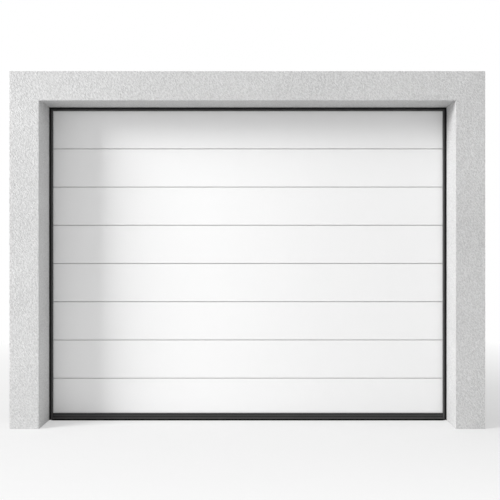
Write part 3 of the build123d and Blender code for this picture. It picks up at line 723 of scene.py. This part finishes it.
def ringTube(centre, radius, thickness, steps=32, sides=10):  # a closed ring round an axis along X
    points, faces = [], []
    for n in range(steps):
        turn = 2 * math.pi * n / steps
        outward = Vector((0, math.cos(turn), math.sin(turn)))
        for s in range(sides):
            around = 2 * math.pi * s / sides
            reach = radius + thickness * math.cos(around)
            points.append(centre + outward * reach + Vector((thickness * math.sin(around), 0, 0)))
    for n in range(steps):
        for s in range(sides):
            a, b = n * sides + s, n * sides + (s + 1) % sides
            c, d = (n + 1) % steps * sides + (s + 1) % sides, (n + 1) % steps * sides + s
            faces.append((a, b, c, d))
    return points, faces


intoGarage, awayFromMiddle, toMiddle, up, down = (0, 1, 0), (1, 0, 0), (-1, 0, 0), (0, 0, 1), (0, 0, -1)

# cable clamps, eyes, and washers on the pins of the brackets and pulleys
cableEnd = {
    "clampFoot": 0.009,  # above the pin
    "clampLength": 0.020,
    "clampRadius": 0.0043,
    "clampShape": (  # radius and height of each ring, as shares
        (0.55, 0), (0.95, 0.04), (1, 0.1), (1, 0.44), (0.86, 0.5),
        (1, 0.56), (1, 0.9), (0.95, 0.96), (0.55, 1),
    ),
    "pinWasherLine": 0.0042,  # outward from the cable
    "pulleyWasherLine": -0.0062,
}
pinPlace = cableFoot - Vector((0, 0, cableLay["pinRadius"]))
clampPlace = pinPlace + Vector((0, 0, cableEnd["clampFoot"]))
clampRings = [
    (cableEnd["clampRadius"] * share, cableEnd["clampLength"] * part, 0)
    for share, part in cableEnd["clampShape"]
]
fixingSet("cableClamps", clampRings, bothHands([(clampPlace, up)]), castAlloy)
eyePoints, eyeFaces = [], []
for hand in (1, -1):
    centre = Vector((hand * pinPlace.x, pinPlace.y, pinPlace.z))
    points, faces = ringTube(centre, cableLay["pinRadius"] + cableLay["radius"], cableLay["radius"])
    eyeFaces += [tuple(n + len(eyePoints) for n in face) for face in faces]
    eyePoints += points
addPiece("cableEyes", eyePoints, eyeFaces, galvanised)
pinEnd = (cableLine + cableEnd["pinWasherLine"], pinPlace.y, pinPlace.z)
pulleyEnd = (cableLine + cableEnd["pulleyWasherLine"], pulleyCentre.y, pulleyCentre.z)
fixingSet("pinWashers", flatWasher(0.006, 0.0015), bothHands([(pinEnd, awayFromMiddle)]), brightZinc)
fixingSet("pulleyWashers", flatWasher(0.0085, 0.0022), bothHands([(pulleyEnd, toMiddle)]), brightZinc)

# hinges, roller carriers and end caps on the leaf
leafFixings = {
    "capSheet": 0.0015,
    "hingeSheet": 0.0025,
    "hingeHalf": (0.018, 0.031),  # from a hinge's middle to its screws, across and up
    "carrierHalf": (0.0135, 0.0385),
    "bracketScrews": (0.045, 0.1035, 1.930, 1.987),  # levels on the bottom and top brackets
    "rivetShares": (0.27, 0.5, 0.77),  # of a section's height
}
hingeFace = leafBack + leafFixings["hingeSheet"]
capFace = leafBack + leafFixings["capSheet"]
carrierFace = capFace + leafFixings["hingeSheet"]
carrierMiddle = middle("right_roller_hinges").x
across, rise = leafFixings["carrierHalf"]
carrierLines = (carrierMiddle - across, carrierMiddle + across)
hingeAcross, hingeRise = leafFixings["hingeHalf"]
hingePlaces = [
    ((x, hingeFace, level + dz), intoGarage)
    for level in jointLevels for x in (-hingeAcross, hingeAcross) for dz in (-hingeRise, hingeRise)
]
carrierPlaces = [
    ((x, carrierFace, level + dz), intoGarage)
    for level in jointLevels for x in carrierLines for dz in (-rise, rise)
]
carrierPlaces += [
    ((x, carrierFace, level), intoGarage) for level in leafFixings["bracketScrews"] for x in carrierLines
]
capPlaces = [
    ((carrierMiddle, capFace, low + (high - low) * share), intoGarage)
    for low, high in zip(sectionLows, sectionHighs) for share in leafFixings["rivetShares"]
]
leafScrew = hexHead(washer=0.0064, washerHeight=0.0012, corner=0.0046, height=0.0052)
fixingSet("hingeScrews", leafScrew, hingePlaces, brightZinc)
fixingSet("carrierScrews", leafScrew, bothHands(carrierPlaces), brightZinc)
fixingSet("capRivets", domeHead(0.0042, 0.0018), bothHands(capPlaces), brightZinc)

# tracks, flag plates, rear plates and ties
trackFixings = {
    "trackSheet": 0.002,
    "plateSheet": 0.003,
    "trackHalf": 0.025,  # half a track's width
    "curveRadii": (0.280, 0.120),
    "flagLines": (0.300, 0.372),  # depth of the flag plate's rear bolts
    "rearGap": 0.010,  # from the tracks' rear ends to their last bolts
    "bracketHalf": 0.018,
    "bracketSteps": 3,  # between the brackets below the flag plate
    "slotPitch": 0.036,
    "slotsUsed": (0.5, 2.5),
    "tieHalf": 0.015,
    "bearingHalf": 0.0226,  # from the shaft to the bearing's nuts
}
webFace = boxCorners("right_vertical_track")[1].x - trackFixings["trackSheet"]  # inside of the track's web
plateFace = boxCorners("flag_plates")[1].x
hangerFace = plateFace + trackFixings["plateSheet"]
postFace = boxCorners("right_frame_post")[1].x
rollerLine = middle("roller_wheels").y
trackStart, trackEnd = boxCorners("right_horizontal_tracks")
lowerTrack, upperTrack = trackStart.z + trackFixings["trackHalf"], trackEnd.z - trackFixings["trackHalf"]
shaft = middle("spring_shaft")

lowest, highest = (corner.z for corner in boxCorners("track_brackets"))
lowest, highest = lowest + trackFixings["bracketHalf"], highest - trackFixings["bracketHalf"]
flagFoot = boxCorners("flag_plates")[0].z
stepUp = (flagFoot - 2 * trackFixings["bracketHalf"] - lowest) / trackFixings["bracketSteps"]
bracketLevels = [lowest + stepUp * n for n in range(trackFixings["bracketSteps"] + 1)]
bracketLevels += [flagFoot + 2 * trackFixings["bracketHalf"], highest]

curvePlaces = []
for radius, level in zip(trackFixings["curveRadii"], (lowerTrack, upperTrack)):
    inset = radius * (1 - math.sqrt(0.5))  # halfway round the curve
    curvePlaces.append((rollerLine + inset, level - inset))
nearFlag, farFlag = trackFixings["flagLines"]
curvePlaces += [(farFlag, lowerTrack), (nearFlag, upperTrack), (farFlag, upperTrack)]
rearLine = trackEnd.y - trackFixings["rearGap"]
tieLow, tieHigh = boxCorners("track_ties")
straightLines = (rearLine, tieLow.y + trackFixings["tieHalf"], tieHigh.y - trackFixings["tieHalf"])
platePlaces = curvePlaces + [(line, level) for line in straightLines for level in (lowerTrack, upperTrack)]
domePlaces = [(rollerLine, level) for level in bracketLevels[:-1]] + platePlaces
hangerMiddle = middle("ceiling_hangers").y
slotFoot, slotPitch = boxCorners("rear_plates")[0].z, trackFixings["slotPitch"]
hangerPlaces = [(hangerMiddle, slotFoot + slotPitch * part) for part in trackFixings["slotsUsed"]]
away = trackFixings["bearingHalf"]
bearingPlaces = [(shaft.y + dy, shaft.z + dz) for dy in (-away, away) for dz in (-away, away)]

domes = [((webFace, *place), toMiddle) for place in domePlaces]
plateNuts = [((plateFace, *place), awayFromMiddle) for place in platePlaces]
plateNuts += [((hangerFace, *place), awayFromMiddle) for place in hangerPlaces]
plateNuts += [((plateFace, *place), awayFromMiddle) for place in bearingPlaces]
postHeads = [((postFace, rollerLine, level), awayFromMiddle) for level in bracketLevels]
bolt = hexHead(washer=0.0085, washerHeight=0.0016, corner=0.0075, height=0.0070)
nut = nutAndThread(
    washer=0.0080, washerHeight=0.0015, corner=0.0075, height=0.0078, thread=0.0039, threadHeight=0.0120,
)
fixingSet("trackBolts", domeHead(0.0078, 0.0036), bothHands(domes), brightZinc)
fixingSet("plateNuts", nut, bothHands(plateNuts), brightZinc)
fixingSet("postBolts", bolt, bothHands(postHeads), brightZinc)

# anchors in the wall and the ceiling
anchors = {
    "postLine": 1.310,
    "postLevels": (0.12, 0.58, 1.05, 1.52, 1.96),
    "headLines": (0.22, 0.66, 1.10),
    "headLevel": 2.052,
    "frameSheet": 0.002,
    "hangerLine": 1.365,
    "hangerHalf": 0.012,
    "bracketLine": 0.020,
    "bracketHalf": 0.055,
}
frameFace = boxCorners("right_pier")[1].y + anchors["frameSheet"]
footFace = boxCorners("ceiling_hangers")[1].z - trackFixings["plateSheet"]
wallPlaces = [((anchors["postLine"], frameFace, level), intoGarage) for level in anchors["postLevels"]]
wallPlaces += [((x, frameFace, anchors["headLevel"]), intoGarage) for x in anchors["headLines"]]
ceilingPlaces = [
    ((anchors["hangerLine"] + way * anchors["hangerHalf"], hangerMiddle, footFace), down) for way in (-1, 1)
]
ceilingPlaces += [
    ((anchors["bracketLine"], shaft.y + way * anchors["bracketHalf"], footFace), down) for way in (-1, 1)
]
fixingSet("wallAnchors", bolt, bothHands(wallPlaces), brightZinc)
fixingSet("ceilingBolts", bolt, bothHands(ceilingPlaces), brightZinc)

# spring bracket nuts and the winding cones' set screws
coneFixings = {
    "bracketFace": 0.0015,
    "nutHalf": 0.038,
    "screwLine": 0.616,  # middle of the cone's collar
    "collarRadius": 0.036,
    "screwTurns": (45, 135, 225),
}
bracketPlaces = [
    ((coneFixings["bracketFace"], shaft.y + way * coneFixings["nutHalf"], shaft.z), awayFromMiddle)
    for way in (-1, 1)
]
fixingSet("springBracketNuts", nut, bothHands(bracketPlaces), brightZinc)
setScrews = []
for degrees in coneFixings["screwTurns"]:
    outward = Vector((0, math.cos(math.radians(degrees)), math.sin(math.radians(degrees))))
    place = Vector((coneFixings["screwLine"], shaft.y, shaft.z)) + outward * coneFixings["collarRadius"]
    setScrews.append((place, outward))
fixingSet("coneSetScrews", squareHead(0.0040, 0.0066, 0.0105), bothHands(setScrews), brightZinc)
print("screws, bolts and nuts set")


# Floor, lamps, world and camera

studio = {
    "floorColour": (0.81, 0.81, 0.81),
    "floorGlow": 0.835,  # white seen by the camera and in reflections only, which keeps the floor pale
    "floorGlowShare": 0.51,
    "fadeStart": 1.6,  # from here the floor turns into the white backdrop
    "fadeEnd": 4.4,
    "frontStart": -0.25,  # in front of the doorway it pales sooner
    "frontRate": 1.7,
    "floorReach": 60.0,
    "floorDrop": 0.0005,
    "floorDust": 0.985,
    "sky": 0.555,
    "lampAim": (0.0, -0.24, 1.1),
    "keyPlace": (-11.4, -4.65, 6.30),
    "keySize": (4.4, 4.7),
    "keyPower": 1995,
    "fillPlace": (9.5, -1.4, 2.6),  # almost beside the wall, so that it lights the left reveal
    "fillSize": (2.0, 3.0),
    "fillPower": 190,
}
cameraView = {
    "place": (0.076, -4.199, 1.104),
    "sensor": 36.0,
    "lens": 46.84,
    "shiftX": -0.0196,
    "shiftY": -0.0048,
}


def makeFloor():
    sheet = NodeSheet("studioFloor")
    place = sheet.objectPlace()
    spread = sheet.add("ShaderNodeVectorMath", {0: place}, operation="LENGTH").outputs["Value"]
    ahead = sheet.maths("SUBTRACT", studio["frontStart"], sheet.axes()["Y"])
    ahead = sheet.maths("MULTIPLY_ADD", ahead, studio["frontRate"], studio["fadeStart"])
    spread = sheet.maths("MAXIMUM", spread, ahead)
    dustAndShade = sheet.remap(sheet.noiseField(0.6, detail=4.0), 0.3, 0.7)
    dusty = tuple(part * studio["floorDust"] for part in studio["floorColour"])
    colour = sheet.blendColour(dustAndShade, studio["floorColour"], dusty)
    ground = sheet.add("ShaderNodeBsdfDiffuse", {"Color": colour})
    path = sheet.add("ShaderNodeLightPath")
    seen = sheet.maths("MAXIMUM", path.outputs["Is Camera Ray"], path.outputs["Is Glossy Ray"])
    seen = sheet.maths("MAXIMUM", seen, path.outputs["Is Transmission Ray"])
    strength = sheet.remap(spread, studio["fadeStart"], studio["fadeEnd"], studio["floorGlow"], 1.0)
    share = sheet.remap(spread, studio["fadeStart"], studio["fadeEnd"], studio["floorGlowShare"], 1.0)
    share = sheet.maths("MULTIPLY", share, seen)
    backdrop = sheet.add("ShaderNodeEmission", {"Color": (1, 1, 1, 1), "Strength": strength})
    mix = sheet.add("ShaderNodeMixShader", {0: share, 1: ground.outputs[0], 2: backdrop.outputs[0]})
    sheet.tree.links.new(mix.outputs[0], sheet.output.inputs["Surface"])
    return sheet.material


def makeWorld():
    world = bpy.data.worlds.new("studioWorld")
    bpy.context.scene.world = world
    world.use_nodes = True
    tree = world.node_tree
    tree.nodes.clear()
    output = tree.nodes.new("ShaderNodeOutputWorld")
    path = tree.nodes.new("ShaderNodeLightPath")
    seen = tree.nodes.new("ShaderNodeMath")
    seen.operation = "MAXIMUM"
    through = tree.nodes.new("ShaderNodeMath")
    through.operation = "MAXIMUM"
    tree.links.new(path.outputs["Is Camera Ray"], seen.inputs[0])
    tree.links.new(path.outputs["Is Glossy Ray"], seen.inputs[1])
    tree.links.new(seen.outputs[0], through.inputs[0])
    tree.links.new(path.outputs["Is Transmission Ray"], through.inputs[1])
    ambient = tree.nodes.new("ShaderNodeBackground")
    ambient.inputs["Color"].default_value = (1, 1, 1, 1)
    ambient.inputs["Strength"].default_value = studio["sky"]
    backdrop = tree.nodes.new("ShaderNodeBackground")
    backdrop.inputs["Color"].default_value = (1, 1, 1, 1)
    mix = tree.nodes.new("ShaderNodeMixShader")
    tree.links.new(through.outputs[0], mix.inputs[0])
    tree.links.new(ambient.outputs[0], mix.inputs[1])
    tree.links.new(backdrop.outputs[0], mix.inputs[2])
    tree.links.new(mix.outputs[0], output.inputs["Surface"])


def aimed(place, target):  # a turn that points an object's -Z axis from place to target
    return (Vector(target) - Vector(place)).to_track_quat("-Z", "Y").to_euler()


floorMesh = bpy.data.meshes.new("studioFloor")
reach = studio["floorReach"]
floorCorners = [(-reach, -reach, 0), (reach, -reach, 0), (reach, reach, 0), (-reach, reach, 0)]
floorMesh.from_pydata(floorCorners, [], [(0, 1, 2, 3)])
floorMesh.materials.append(makeFloor())
studioFloor = bpy.data.objects.new("studioFloor", floorMesh)
studioFloor.location.z = -studio["floorDrop"]
bpy.context.scene.collection.objects.link(studioFloor)

for lampName in ("key", "fill"):
    lampData = bpy.data.lights.new(lampName + "Softbox", "AREA")
    lampData.shape = "RECTANGLE"
    lampData.size, lampData.size_y = studio[lampName + "Size"]
    lampData.energy = studio[lampName + "Power"]
    softbox = bpy.data.objects.new(lampName + "Softbox", lampData)
    softbox.location = studio[lampName + "Place"]
    softbox.rotation_euler = aimed(studio[lampName + "Place"], studio["lampAim"])
    bpy.context.scene.collection.objects.link(softbox)
makeWorld()

cameraData = bpy.data.cameras.new("frontCamera")
cameraData.sensor_width = cameraView["sensor"]
cameraData.lens = cameraView["lens"]
cameraData.shift_x = cameraView["shiftX"]
cameraData.shift_y = cameraView["shiftY"]
frontCamera = bpy.data.objects.new("frontCamera", cameraData)
frontCamera.location = cameraView["place"]
frontCamera.rotation_euler = (math.radians(90), 0, 0)
bpy.context.scene.collection.objects.link(frontCamera)
bpy.context.scene.camera = frontCamera
bpy.context.scene.view_settings.view_transform = "Standard"
print("studio set")
